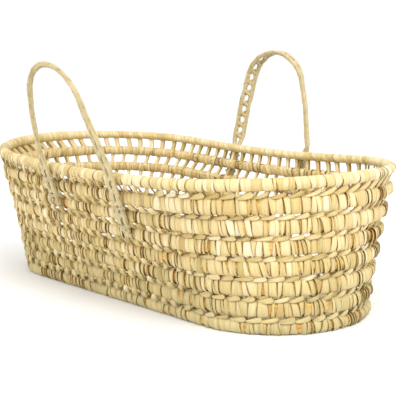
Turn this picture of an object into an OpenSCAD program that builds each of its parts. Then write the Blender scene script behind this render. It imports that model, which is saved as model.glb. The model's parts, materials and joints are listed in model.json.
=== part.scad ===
// Palm-leaf baby cradle: an open oval basket of wrapped bundles, laced row to row,
// with a thick rim roll and two plaited carrying handles sewn to its long sides.
// Millimetres. +Z is up, +X runs along the basket, -Y is the front.
// The origin is on the floor, under the middle of the base.

/* [Basket] */
// Length over the rim roll
basket_l = 840; // [800:10:900]
// Width over the rim roll
basket_w = 445; // [430:5:480]
// Height over the rim roll at the middle of a long side
basket_h = 235; // [225:5:260]
// Length of the base over its edge row
base_l = 778; // [760:2:790]
// Width of the base over its edge row
base_w = 317; // [313:2:330]
// How late the wall flares on its way up: 1 is a straight wall
flare = 1.24; // [1:0.02:1.5]
// Upward tilt of the two rounded ends at the rim, in degrees
end_tilt = 3; // [1:0.5:4]

/* [Rows] */
// Number of wall rows under the rim
wall_rows = 7; // [7:1:7]
// Number of oval rows in the base
base_rows = 4; // [4:1:4]
// Diameter that a wrapped row is coiled to
row_d = 22; // [18:0.5:22]
// Thickness of a wrapped row between its two flattened sides
row_t = 17; // [15:0.5:18]
// Diameter of the rim roll
rim_d = 19; // [17:0.5:20]
// Thickness of the leaf wrapping
wrap_t = 2.2; // [1.5:0.1:2.6]
// Distance between neighbouring rows of the base
base_pitch = 30; // [29:0.5:31]

/* [Lacing] */
// Diameter of a lacing stitch
stitch_d = 7; // [5:0.5:8]
// Spacing that the stitches keep to along a gap
stitch_pitch = 25; // [22:0.5:30]
// Lean of the stitches under the rim, as a share of their spacing
rim_stitch_lean = 0.45; // [0.2:0.05:0.6]

/* [Handles] */
// Half of the distance between the two legs of a handle
leg_x = 94; // [90:1:110]
// Height of a handle's loop above its bend line
loop_h = 173; // [150:1:200]
// Radius of the top of a loop
loop_r = 66; // [55:1:70]
// Height of the bend line above the floor
bend_z = 242.5; // [242:0.5:246]
// Diameter of an edge strand
strand_d = 9; // [8:0.5:9]
// Distance between the two edge strands
strand_gap = 15; // [14:0.5:16]
// Diameter of the cross strands between them
cross_d = 4.4; // [3:0.2:5]
// Cross strands on each leg
leg_crosses = 6; // [4:1:7]
// Cross strands over the top of each loop
top_crosses = 9; // [6:1:10]
// Outward lean of the front handle, in degrees
front_lean = 17; // [0:1:20]
// Outward lean of the rear handle, in degrees
rear_lean = 3; // [0:1:20]
// How far the front handle is sewn on to the right of the middle
front_shift = -3; // [-10:1:10]
// How far the rear handle is sewn on to the right of the middle
rear_shift = -8; // [-10:1:10]
// Height above the floor of the lower end of a short sewn end
short_end_z = 166; // [160:1:172]
// Height above the floor of the lower end of a long sewn end
long_end_z = 135; // [132:1:141]
// Thickness of the twine in a tie
twine_t = 1.6; // [1:0.1:2]
// Width of the twine band in a tie
twine_w = 4; // [2:0.5:5]

/* [Hidden] */
fit_gap = 0.05;
rub_gap = 0.3;
seam = 0.1;
splice_l = 4;
splice_inset = 0.5;
core_inset = wrap_t + fit_gap;
// Steps in a full turn: a fine one for the long shallow runs, which turn only a few degrees
run_fn = 1440;
bend_fn = 96;
round_fn = 48;
knot_r = strand_d / 2 + 0.5;
cap_drop = 6.5;
rim_half_l = (basket_l - rim_d) / 2;
rim_half_w = (basket_w - rim_d) / 2;
rim_z = basket_h - rim_d / 2;
base_half_l = (base_l - row_t) / 2;
base_half_w = (base_w - row_t) / 2;
edge_z = row_d / 2;
base_z = row_t / 2;
flat_rows = 2;
base_straight = base_half_l - base_half_w;

// Row 0 is the rim and row wall_rows is the edge row that stands on the floor.
// The lowest flat_rows rows lie level, and the ends of the others rise towards the rim.
function rise(row) = 1 - row / wall_rows;
function row_half_l(row) = base_half_l + (rim_half_l - base_half_l) * pow(rise(row), flare);
function row_half_w(row) = base_half_w + (rim_half_w - base_half_w) * pow(rise(row), flare);
function row_z(row) = edge_z + (rim_z - edge_z) * rise(row);
function row_tilt(row) = row < wall_rows - flat_rows + 1 ? end_tilt * rise(row) : 0;
function row_straight(row) = row_half_l(row) - row_half_w(row);

// The wall leans outward between the rim and its third row, and the sewn ends follow it.
wall_lean = atan((row_half_w(0) - row_half_w(3)) / (row_z(0) - row_z(3)));
sewn_y = row_half_w(0) + (rim_d / 2 + strand_d / 2 + 2 * rub_gap) / cos(wall_lean);
bend_y = sewn_y + (bend_z - rim_z) * tan(wall_lean);

// A loop is two straight legs that run tangent into a round top.
loop_c = loop_h - loop_r;
tangent_a = acos(loop_r / norm([leg_x, loop_c])) - atan2(loop_c, leg_x);

COURSES = [for (i = [1:wall_rows]) i];

$fn = round_fn;

// ---- Profiles: x points out of the basket, y points up ----

module row_profile(inset = 0) {
    intersection() {
        circle(d = row_d - 2 * inset, $fn = round_fn);
        square([row_t - 2 * inset, row_d], center = true);
    }
}

module rim_profile(inset = 0) {
    circle(d = rim_d - 2 * inset, $fn = round_fn);
}

module row_shell(inset) {
    difference() {
        row_profile(inset);
        row_profile(wrap_t - inset);
    }
}

module rim_shell(inset) {
    difference() {
        rim_profile(inset);
        rim_profile(wrap_t - inset);
    }
}

// ---- One oval row: two straight-sided runs that sag, and two round ends that rise ----

module side_run(half_w, straight, tilt) {
    if (tilt > 0) {
        sag_r = straight / sin(tilt);
        translate([0, half_w, sag_r])
            rotate([-90, 90, 0])
                rotate_extrude(angle = 2 * tilt, start = -tilt, $fn = run_fn)
                    translate([sag_r, 0])
                        rotate(90)
                            children();
    } else {
        translate([-straight, half_w, 0])
            rotate([90, 0, 90])
                linear_extrude(2 * straight)
                    children();
    }
}

// Puts its children where a run ends: x points on along the row, into the bend.
module at_run_end(straight, tilt) {
    translate([straight, 0, straight * tan(tilt / 2)])
        rotate([0, -tilt, 0])
            children();
}

module end_bend(half_w) {
    translate([seam, 0, 0])
        rotate([0, 0, -90])
            rotate_extrude(angle = 180, $fn = bend_fn)
                translate([half_w, 0])
                    children();
}

module splice(half_w) {
    for (side = [0, 1])
        mirror([0, side, 0])
            translate([-splice_l / 2, half_w, 0])
                rotate([90, 0, 90])
                    linear_extrude(splice_l)
                        children();
}

// The first child is the row's profile. The second is the slimmer profile of the four
// splices, which carry the row over the hairline seams between its runs and bends.
module oval(half_l, half_w, tilt) {
    straight = half_l - half_w - seam;
    for (side = [0, 1]) {
        mirror([0, side, 0])
            side_run(half_w, straight, tilt) children(0);
        mirror([side, 0, 0])
            at_run_end(straight, tilt) {
                end_bend(half_w) children(0);
                splice(half_w) children(1);
            }
    }
}

module wall_oval(row) {
    translate([0, 0, row_z(row)])
        oval(row_half_l(row), row_half_w(row), row_tilt(row)) {
            children(0);
            children(1);
        }
}

// Base rows lie on the floor on their flat side.
module base_oval(row) {
    translate([0, 0, base_z])
        oval(base_half_l - row * base_pitch, base_half_w - row * base_pitch, 0) {
            rotate(90) children(0);
            rotate(90) children(1);
        }
}

// ---- Points on a row, for the stitches ----

function side_point(half_w, straight, tilt, share, side) =
    let (x = straight * share)
    [x, side * half_w, tilt > 0 ? abs(x) * tan(tilt * abs(share) / 2) : 0];

function end_point(half_w, straight, tilt, angle, side) =
    let (out = half_w * cos(angle))
    [side * (straight + out * cos(tilt)), half_w * sin(angle),
        straight * tan(tilt / 2) + out * sin(tilt)];

// Stitches of the gap under a row, along each straight side and round each end.
function side_count(gap) = round((row_straight(gap) + row_straight(gap + 1)) / stitch_pitch);
function end_count(gap) = round(PI * (row_half_w(gap) + row_half_w(gap + 1)) / 2 / stitch_pitch);
function gap_count(gap) = 2 * (side_count(gap) + end_count(gap));

// Place i of a gap's walk, on a row beside it: straight front, right end, straight rear,
// left end.
function wall_point(row, gap, i) =
    let (n = side_count(gap), m = end_count(gap), w = row_half_w(row), s = row_straight(row),
        t = row_tilt(row), z = [0, 0, row_z(row)])
    i < n ? z + side_point(w, s, t, 2 * i / n - 1, -1)
    : i < n + m ? z + end_point(w, s, t, -90 + 180 * (i - n) / m, 1)
    : i < 2 * n + m ? z + side_point(w, s, t, 1 - 2 * (i - n - m) / n, 1)
    : z + end_point(w, s, t, 90 - 180 * (i - 2 * n - m) / m, -1);

function base_point(row, side, i, n, m) =
    let (w = base_half_w - row * base_pitch, z = [0, 0, base_z])
    i < n
    ? z + [base_straight * ((2 * i + 1) / n - 1) * side, -w * side, 0]
    : z + end_point(w, base_straight, 0, -90 + 180 * (i - n + 0.5) / m, side);

module bar(from, to, d) {
    run = to - from;
    translate(from)
        rotate([0, acos(run.z / norm(run)), atan2(run.y, run.x)])
            cylinder(h = norm(run), d = d);
}

// How far a bar of diameter d stops short of a row's or strand's middle, so that its flat
// end just clears the surface. along is the direction there and run is the bar's own.
function stop_short(reach, run, along, d) =
    let (lean = asin(abs(run * along) / (norm(run) * norm(along))))
    (reach + fit_gap + d / 2 * sin(lean)) / cos(lean);

module stitch(from, from_along, from_reach, to, to_along, to_reach) {
    run = to - from;
    way = run / norm(run);
    bar(from + way * stop_short(from_reach, run, from_along, stitch_d),
        to - way * stop_short(to_reach, run, to_along, stitch_d), stitch_d);
}

// ---- Base ----

module center_bar(inset) {
    reach = base_half_l - (base_rows + 1) * base_pitch;
    translate([0, 0, base_z]) {
        rotate([90, 0, 90])
            translate([0, 0, -reach])
                linear_extrude(2 * reach)
                    rotate(90)
                        row_profile(inset);
    }
}

module base_center_core() {
    color("peru") center_bar(core_inset);
}

module base_center_wrap() {
    color("wheat") difference() {
        center_bar(0);
        center_bar(wrap_t);
    }
}

module base_row_core(row) {
    color("peru") base_oval(row) {
        row_profile(core_inset);
        row_profile(core_inset + splice_inset);
    }
}

module base_row_wrap(row) {
    color("wheat") base_oval(row) {
        row_shell(0);
        row_shell(splice_inset);
    }
}

// Lacing 0 joins the edge row to base row 1, and the last one holds the centre bundle.
module base_lacing(row) {
    n = round(2 * base_straight / stitch_pitch);
    m = round(PI * (base_half_w - (row + 0.5) * base_pitch) / stitch_pitch);
    ends = row < base_rows ? m : 0;
    color("burlywood") for (side = [-1, 1], i = [0:n + ends - 1]) {
        from = base_point(row, side, i, n, m);
        to = base_point(row + 1, side, i, n, m);
        along = cross(to - from, [0, 0, 1]);
        stitch(from, along, row == 0 ? row_t / 2 : row_d / 2, to, along, row_d / 2);
    }
}

// ---- Wall ----

module wall_row_core(row) {
    color("peru") wall_oval(row) {
        row_profile(core_inset);
        row_profile(core_inset + splice_inset);
    }
}

module wall_row_wrap(row) {
    color("wheat") wall_oval(row) {
        row_shell(0);
        row_shell(splice_inset);
    }
}

function along_wall(row, gap, i) =
    let (count = gap_count(gap))
    wall_point(row, gap, (i + 0.1) % count) - wall_point(row, gap, (i - 0.1 + count) % count);

module wall_stitches(gap, lean) {
    count = gap_count(gap);
    for (i = [0:count - 1]) {
        upper = (i + 0.5 + lean / 2) % count;
        lower = (i + 0.5 - lean / 2 + count) % count;
        stitch(wall_point(gap, gap, upper), along_wall(gap, gap, upper),
            gap == 0 ? rim_d / 2 : row_d / 2,
            wall_point(gap + 1, gap, lower), along_wall(gap + 1, gap, lower), row_d / 2);
    }
}

module wall_lacing(gap) {
    color("burlywood") wall_stitches(gap, 0);
}

module rim_lacing() {
    color("burlywood") wall_stitches(0, rim_stitch_lean);
}

module rim_core() {
    color("peru") wall_oval(0) {
        rim_profile(core_inset);
        rim_profile(core_inset + splice_inset);
    }
}

module rim_wrap() {
    color("cornsilk") wall_oval(0) {
        rim_shell(0);
        rim_shell(splice_inset);
    }
}

// ---- Handles: drawn for the front, with the bend line on the X axis ----

function shift_of(which) = which == "front" ? front_shift : rear_shift;
function lean_of(which) = which == "front" ? front_lean : rear_lean;

module place_handle(which) {
    mirror([0, which == "front" ? 0 : 1, 0])
        translate([shift_of(which), -bend_y, bend_z])
            rotate([lean_of(which), 0, 0])
                children();
}

// Both legs of the front strap turn the same way, and those of the rear strap turn apart.
function twist_of(which, side) = which == "front" && side > 0 ? -1 : 1;

// Point on an edge strand. hand is 1 for the strand beside the basket and -1 for the other.
function leg_foot(which, hand, side) =
    [side * (leg_x + hand * twist_of(which, side) * strand_gap / 2), 0, 0];

function leg_head(hand, side) = [side * loop_r * cos(tangent_a), hand * strand_gap / 2,
    loop_c + loop_r * sin(tangent_a)];

function leg_point(which, hand, side, share) =
    leg_foot(which, hand, side) * (1 - share) + leg_head(hand, side) * share;

function along_leg(which, hand, side) = leg_head(hand, side) - leg_foot(which, hand, side);

function top_point(hand, angle) = [loop_r * cos(angle), hand * strand_gap / 2,
    loop_c + loop_r * sin(angle)];

// The strap turns a quarter on each leg, so an edge strand runs from beside
// the loop's plane at the top to beside the leg at the foot.
module edge_strand(which, hand) {
    translate([0, hand * strand_gap / 2, loop_c])
        rotate([90, 0, 0])
            rotate([0, 0, tangent_a])
                rotate_extrude(angle = 180 - 2 * tangent_a, $fn = bend_fn)
                    translate([loop_r, 0])
                        circle(d = strand_d);
    for (side = [-1, 1]) {
        bar(leg_foot(which, hand, side), leg_head(hand, side), strand_d);
        translate(leg_foot(which, hand, side)) sphere(r = knot_r);
        translate(leg_head(hand, side)) sphere(r = knot_r);
    }
}

module cross_strand(from, from_along, to, to_along) {
    run = to - from;
    way = run / norm(run);
    bar(from + way * stop_short(strand_d / 2, run, from_along, cross_d),
        to - way * stop_short(strand_d / 2, run, to_along, cross_d), cross_d);
}

module cross_strands(which) {
    top_step = (180 - 2 * tangent_a) / top_crosses;
    for (side = [-1, 1], i = [0:leg_crosses - 1]) {
        share = (i + 0.5) / leg_crosses;
        cross_strand(leg_point(which, 1, side, share), along_leg(which, 1, side),
            leg_point(which, -1, side, share), along_leg(which, -1, side));
    }
    for (i = [0:top_crosses - 1]) {
        angle = tangent_a + (i + 0.5) * top_step;
        along = [-sin(angle), 0, cos(angle)];
        cross_strand(top_point(1, angle), along, top_point(-1, angle), along);
    }
}

module handle_strand(which, hand) {
    color("tan") place_handle(which) edge_strand(which, hand);
}

module handle_crosses(which) {
    color("tan") place_handle(which) cross_strands(which);
}

// The sewn ends lie down the outside of the wall. depth runs down the wall from the bend.
module place_sewn(which, side) {
    mirror([0, which == "front" ? 0 : 1, 0])
        translate([shift_of(which) + side * leg_x, -bend_y, bend_z])
            rotate([180 + wall_lean, 0, 0])
                children();
}

function depth_of(z) = (bend_z - z) / cos(wall_lean);

module sewn_end(which, side, end_z) {
    run = depth_of(end_z) - cap_drop;
    count = floor(run / strand_gap);
    color("tan") place_sewn(which, side) translate([0, 0, cap_drop]) {
        for (hand = [-1, 1])
            translate([hand * strand_gap / 2, 0, 0]) cylinder(h = run, d = strand_d);
        for (i = [0:count - 1])
            translate([-strand_gap / 2, 0, (i + 0.5) * run / count])
                rotate([0, 90, 0])
                    cylinder(h = strand_gap, d = cross_d);
    }
}

// Two twine bands round a sewn end. Each one passes behind it between two rows.
module tie(which, side, first_gap) {
    inner = [strand_gap + strand_d + 2 * fit_gap, strand_d + 2 * fit_gap];
    outer = inner + [2 * twine_t, 2 * twine_t];
    color("darkkhaki") place_sewn(which, side)
        for (gap = [first_gap, first_gap + 1])
            translate([0, 0, depth_of((row_z(gap) + row_z(gap + 1)) / 2) - twine_w / 2])
                linear_extrude(twine_w)
                    difference() {
                        square(outer, center = true);
                        square(inner, center = true);
                    }
}

base_center_core();
base_center_wrap();
for (i = [1:base_rows]) {
    base_row_core(i);
    base_row_wrap(i);
}
for (i = [0:base_rows])
    base_lacing(i);
for (i = COURSES) {
    wall_row_core(i);
    wall_row_wrap(i);
}
rim_lacing();
for (i = [1:wall_rows - 1])
    wall_lacing(i);
rim_core();
rim_wrap();
for (which = ["front", "rear"]) {
    handle_strand(which, 1);
    handle_strand(which, -1);
    handle_crosses(which);
    sewn_end(which, -1, short_end_z);
    sewn_end(which, 1, long_end_z);
    tie(which, -1, 0);
    tie(which, 1, 1);
}
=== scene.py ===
"""Palm-leaf baby cradle: the looks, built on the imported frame.

Every wrapped row is a bundle of leaf stems with one long leaf ribbon wound round it, every gap is
laced with single leaf stitches, and each handle is an open plait of four strands whose ends are
sewn to the wall with twine. All lengths are in metres, in the frame of the CAD part.
"""

import json
import math

import bpy
import numpy as np
from mathutils import Matrix, Vector


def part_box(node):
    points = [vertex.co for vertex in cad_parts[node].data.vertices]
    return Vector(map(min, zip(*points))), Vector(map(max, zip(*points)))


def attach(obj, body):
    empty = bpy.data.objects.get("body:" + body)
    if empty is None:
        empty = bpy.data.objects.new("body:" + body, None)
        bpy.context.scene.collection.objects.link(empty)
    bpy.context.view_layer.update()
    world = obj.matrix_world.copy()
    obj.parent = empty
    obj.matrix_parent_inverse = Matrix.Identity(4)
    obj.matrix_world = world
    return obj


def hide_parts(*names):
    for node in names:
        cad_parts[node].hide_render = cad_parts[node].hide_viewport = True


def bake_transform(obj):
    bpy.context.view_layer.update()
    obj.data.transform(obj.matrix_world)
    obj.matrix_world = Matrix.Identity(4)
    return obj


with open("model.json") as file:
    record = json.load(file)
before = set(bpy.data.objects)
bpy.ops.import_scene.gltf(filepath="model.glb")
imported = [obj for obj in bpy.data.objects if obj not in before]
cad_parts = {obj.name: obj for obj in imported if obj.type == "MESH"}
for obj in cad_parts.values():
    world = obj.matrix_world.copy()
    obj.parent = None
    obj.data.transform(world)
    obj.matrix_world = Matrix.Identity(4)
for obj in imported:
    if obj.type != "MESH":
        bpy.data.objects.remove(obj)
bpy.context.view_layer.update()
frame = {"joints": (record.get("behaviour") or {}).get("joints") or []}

MM = 0.001
TURN = 2 * math.pi
SEED = 607
UP = np.array([0.0, 0.0, 1.0])

# ---- The sizes that the CAD part is built to, and how the looks depart from them ----

WALL_ROWS = 7
BASE_ROWS = 4
STITCH_PITCH = 25 * MM
ROW_TALL = 22 * MM
ROW_THICK = 17 * MM
RIM_ACROSS = 19 * MM
WRAP_THICK = 2.2 * MM
FLOOR_GAP = 0.3 * MM
# How far in from its ends the middle bar of the base is rounded.
BAR_ROUND = 10 * MM

# How much slimmer the rows are wound at the rear, and how much fuller at the right of the front.
REAR_SLIM = 0.20
RIGHT_FULL = 0.20
# Where one look fades into another: the start and the span, in metres. Rows grow slim and lacing
# grows small towards the rear; rows grow full, turns wide and stitches long towards the right.
REAR_FADE, FRONT_FADE = (0.0, 0.12), (-0.08, 0.2)
FULL_FADE, TURN_FADE, WEDGE_FADE = (0.02, 0.22), (-0.30, 0.55), (0.08, 0.22)

# A handle's loop: half the distance between its feet, its height along its lean, and its radius.
LEG_X = 94 * MM
LOOP_H = 173 * MM
LOOP_R = 66 * MM
WALL_LEAN = math.radians(18.93)
LEAN = {"front": math.radians(17), "rear": math.radians(3)}
SHIFT = {"front": -3 * MM, "rear": -8 * MM}
# Where the strap's width points, in degrees about the upright, as drawn for the front: below and
# above the left bend, partway up the leg, at its head, at the top, and on down the right leg.
STRAP_TURN = {"front": (180, 164, 144, 140, 144, 156, 165, 174, 180),
              "rear": (180, 150, 140, 134, 90, 56, 54, 58, 0)}
# How far the strap's width dips below level at the same places.
STRAP_DIP = {"front": (0, 0, 0, 8, 19, 10, 0, 0, 0), "rear": (0, 0, 0, 0, 0, 0, 0, 0, 0)}
# How far the loop's top sways to the right, and its left and right legs bow that way.
SWAY = {"front": 3.5 * MM, "rear": 3.3 * MM}
LEG_BOW = {"front": (-9.0 * MM, 1.5 * MM), "rear": (-2.5 * MM, 6.5 * MM)}
# By side, left -1 and right 1: how high a sewn end's tail ends, and the gaps its two ties go through.
TAIL_END_Z = {-1: 166 * MM, 1: 135 * MM}
TIE_GAPS = {-1: (0, 1), 1: (1, 2)}
HINGES = {j["child"]: Vector(j["pos_m"]) for j in frame["joints"]}

# ---- Small tools ----


def smooth(x):
    x = np.clip(x, 0, 1)
    return x * x * (3 - 2 * x)


def fade(x, start, span):
    """Rises from 0 to 1 as x goes from start on over span."""
    return smooth((x - start) / span)


def mix(a, b, t):
    return a + (b - a) * t


def unit(v):
    return v / np.maximum(np.linalg.norm(v, axis=-1, keepdims=True), 1e-12)


def wander(rng, count, smoothness):
    """Smooth random numbers, mostly within -1 to 1, whose last runs on into the first."""
    raw = rng.normal(size=count)
    reach = np.arange(count)
    reach = np.minimum(reach, count - reach)
    kernel = np.exp(-((reach / smoothness) ** 2))
    out = np.real(np.fft.ifft(np.fft.fft(raw) * np.fft.fft(kernel)))
    return out / max(out.std(), 1e-9) * 0.5


def grid_quads(rows, cols, close_rows, start):
    """Quads of a grid of rows x cols vertices. Each row is a ring, and the rows may close too."""
    i = np.arange(rows if close_rows else rows - 1)
    j = np.arange(cols)
    i, j = [a.ravel() for a in np.meshgrid(i, j, indexing="ij")]
    i1, j1 = (i + 1) % rows, (j + 1) % cols
    return start + np.stack([i * cols + j, i1 * cols + j, i1 * cols + j1, i * cols + j1], 1)


class Build:
    """Collects the closed grids that make up one piece."""

    def __init__(self):
        self.verts, self.quads, self.fields, self.count = [], [], [], 0

    def grid(self, points, grain, look, close_rows=False):
        """points, grain and look are rows x cols x 3. The columns close into a tube."""
        rows, cols = points.shape[:2]
        self.quads.append(grid_quads(rows, cols, close_rows, self.count))
        fields = np.concatenate([grain, look], -1)
        self.add(points.reshape(-1, 3), fields.reshape(-1, 6))
        if not close_rows:
            self.cap(points[0], fields[0], False)
            self.cap(points[-1], fields[-1], True)

    def add(self, points, fields):
        self.verts.append(points)
        self.fields.append(fields)
        self.count += len(points)

    def cap(self, ring, fields, last):
        """Closes an end with quads that meet in its middle. The ring has an even count."""
        cols, start = len(ring), self.count
        j = np.arange(0, cols, 2)
        hub = np.full(len(j), start + cols)
        fan = np.stack([start + j, start + j + 1, start + (j + 2) % cols, hub], 1)
        self.quads.append(fan[:, ::-1] if last else fan)
        self.add(np.concatenate([ring, ring.mean(0)[None]]),
                 np.concatenate([fields, fields.mean(0)[None]]))

    def piece(self, name, material, nodes, body=None):
        """Makes the object, standing for these CAD nodes, on that body if it is given."""
        verts, quads = np.concatenate(self.verts), np.concatenate(self.quads)
        fields = np.concatenate(self.fields)
        mesh = bpy.data.meshes.new(name)
        mesh.vertices.add(len(verts))
        mesh.vertices.foreach_set("co", verts.astype(np.float32).ravel())
        mesh.loops.add(quads.size)
        mesh.loops.foreach_set("vertex_index", quads.astype(np.int32).ravel())
        mesh.polygons.add(len(quads))
        starts = np.arange(0, quads.size, 4, dtype=np.int32)
        mesh.polygons.foreach_set("loop_start", starts)
        mesh.polygons.foreach_set("use_smooth", np.ones(len(quads), bool))
        for field, values in (("grain", fields[:, :3]), ("look", fields[:, 3:])):
            data = mesh.attributes.new(field, "FLOAT_VECTOR", "POINT").data
            data.foreach_set("vector", values.astype(np.float32).ravel())
        mesh.update()
        mesh.materials.append(material)
        obj = bpy.data.objects.new(name, mesh)
        bpy.context.scene.collection.objects.link(obj)
        if body:
            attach(obj, body)
        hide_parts(*nodes)
        return obj


def fields_of(shape, *values):
    """Stacks three values, each a number or an array, over a grid."""
    return np.stack([np.broadcast_to(v, shape) for v in values], -1)


# ---- Rows: closed ovals, or the straight bar in the middle of the base ----


class Oval:
    """One oval row, from the box of its CAD wrapping. Its length starts at the front's left."""

    closed = True

    def __init__(self, node, wide, tall, full=0.0):
        lo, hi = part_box(node)
        self.wide, self.tall, self.full = wide, tall, full
        self.half_w = (hi.y - lo.y - wide) / 2
        self.straight = (hi.x - lo.x - wide) / 2 - self.half_w
        self.z = lo.z + tall / 2
        rise = max(hi.z - lo.z - tall, 0)
        self.tilt = rise / (self.straight / 2 + self.half_w + wide / 2)
        side, end = 2 * self.straight, math.pi * self.half_w
        self.marks = np.cumsum([0, side, end, side, end])
        self.length = self.marks[-1]

    def reach(self, walk):
        """Length at a place on the walk, whose four quarters are the sides and the ends."""
        lap = np.floor(walk / 4)
        return lap * self.length + np.interp(walk - lap * 4, np.arange(5), self.marks)

    def at(self, reach):
        """Point, outward and up at each length."""
        reach = np.mod(reach, self.length)
        turned = reach >= self.marks[2]
        step = np.where(turned, reach - self.marks[2], reach)
        bent = step > self.marks[1]
        share = np.clip(step / self.straight - 1, -1, 1)
        phi = np.where(bent, (step - self.marks[1]) / self.half_w, 0) - math.pi / 2
        slope = np.where(bent, self.tilt, self.tilt * share)
        out = np.where(bent, self.half_w * np.cos(phi), 0)
        x = self.straight * share + out * math.cos(self.tilt)
        y = self.half_w * np.sin(phi)
        sag = self.straight * np.abs(share) * np.tan(self.tilt * np.abs(share) / 2)
        z = sag + out * math.sin(self.tilt)
        outward = np.stack([np.cos(phi) * np.cos(slope), np.sin(phi),
                            np.cos(phi) * np.sin(slope)], -1)
        up = np.stack([-np.sin(slope), 0 * slope, np.cos(slope)], -1)
        flip = np.where(turned[..., None], [-1.0, -1.0, 1.0], 1.0)
        return np.stack([x, y, z], -1) * flip + UP * self.z, outward * flip, up * flip

    def section(self, theta, power, reach):
        """Outward and up distances of the surface. theta is 0 at the top and 90 outside."""
        s, c = np.sin(theta), np.cos(theta)
        return (self.wide / 2 * np.sign(s) * np.abs(s) ** power + 0 * reach,
                self.tall / 2 * np.sign(c) * np.abs(c) ** power + 0 * reach)


class Bar:
    """The short straight row in the middle of the base, with rounded ends."""

    closed = False
    full = 0.0

    def __init__(self, node, wide, tall):
        lo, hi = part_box(node)
        self.wide, self.tall = wide, tall
        self.start, self.length = lo.x, hi.x - lo.x
        self.z = lo.z + tall / 2

    def at(self, reach):
        x = np.clip(reach, 0, self.length) + self.start
        point = np.stack([x, 0 * x, 0 * x + self.z], -1)
        return point, np.array([0.0, -1.0, 0.0]) + 0 * point, UP + 0 * point

    def section(self, theta, power, reach):
        inset = np.minimum(reach, self.length - reach)
        taper = np.sqrt(np.clip(inset / BAR_ROUND, 0.04, 1))
        s, c = np.sin(theta), np.cos(theta)
        return (self.wide / 2 * np.sign(s) * np.abs(s) ** power * taper,
                self.tall / 2 * np.sign(c) * np.abs(c) ** power * taper)


wall = [Oval("rim_wrap", RIM_ACROSS, RIM_ACROSS)]
wall += [Oval(f"wall_row_{i}_wrap", ROW_THICK, ROW_TALL, RIGHT_FULL if i < WALL_ROWS else 0)
         for i in range(1, WALL_ROWS + 1)]
base = [Oval(f"base_row_{i}_wrap", ROW_TALL, ROW_THICK) for i in range(1, BASE_ROWS + 1)]
center = Bar("base_center_wrap", ROW_TALL, ROW_THICK)


def stitch_walk(a, b):
    """The walk places of the stitches between two rows, and the walk between neighbours."""
    side = round((a.straight + b.straight) / STITCH_PITCH)
    end = round(math.pi * (a.half_w + b.half_w) / 2 / STITCH_PITCH)
    counts = [side, end, side, end]
    walk = np.concatenate([q + (np.arange(n) + 0.5) / n for q, n in enumerate(counts)])
    return walk, np.concatenate([np.full(n, 1 / n) for n in counts])


# ---- Materials ----

# Real stains, and a painted shade on the wrapped rows' top and bottom, take the first colour;
# grey-green weathered patches, and a painted shade near the floor, take the second.
STAIN_AND_SHADE = (0.50, 0.28, 0.08, 1)
AGED_AND_SHADE = (0.53, 0.46, 0.25, 1)


class Nodes:
    """A node tree being written, with short calls for what the leaf materials need."""

    def __init__(self, name):
        self.material = bpy.data.materials.new(name)
        self.material.use_nodes = True
        self.tree = self.material.node_tree
        self.shader = self.tree.nodes["Principled BSDF"]

    def add(self, kind, inputs=None, **settings):
        node = self.tree.nodes.new(kind)
        for key, value in settings.items():
            setattr(node, key, value)
        for key, value in (inputs or {}).items():
            self.put(node.inputs[key], value)
        return node

    def put(self, socket, value):
        if isinstance(value, bpy.types.NodeSocket):
            self.tree.links.new(value, socket)
        else:
            socket.default_value = value

    def math(self, operation, *values, clamp=False):
        node = self.add("ShaderNodeMath", operation=operation, use_clamp=clamp)
        for socket, value in zip(node.inputs, values, strict=False):
            self.put(socket, value)
        return node.outputs[0]

    def blend(self, factor, a, b, kind="MIX"):
        node = self.add("ShaderNodeMix", data_type="RGBA", blend_type=kind)
        colours = [socket for socket in node.inputs if socket.type == "RGBA"]
        self.put(node.inputs[0], factor)
        self.put(colours[0], a)
        self.put(colours[1], b)
        return [socket for socket in node.outputs if socket.type == "RGBA"][0]

    def ramp(self, value, stops):
        node = self.add("ShaderNodeValToRGB", {"Fac": value})
        while len(node.color_ramp.elements) < len(stops):
            node.color_ramp.elements.new(0.5)
        for element, (place, colour) in zip(node.color_ramp.elements, stops, strict=True):
            element.position = place
            element.color = (*colour, 1)
        return node.outputs["Color"]

    def noise(self, vector, stretch, detail, rough):
        scaled = self.add("ShaderNodeVectorMath", {0: vector, 1: stretch}, operation="MULTIPLY")
        inputs = {"Vector": scaled.outputs["Vector"], "Scale": 1.0, "Detail": detail,
                  "Roughness": rough}
        return self.add("ShaderNodeTexNoise", inputs).outputs["Fac"]


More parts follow.
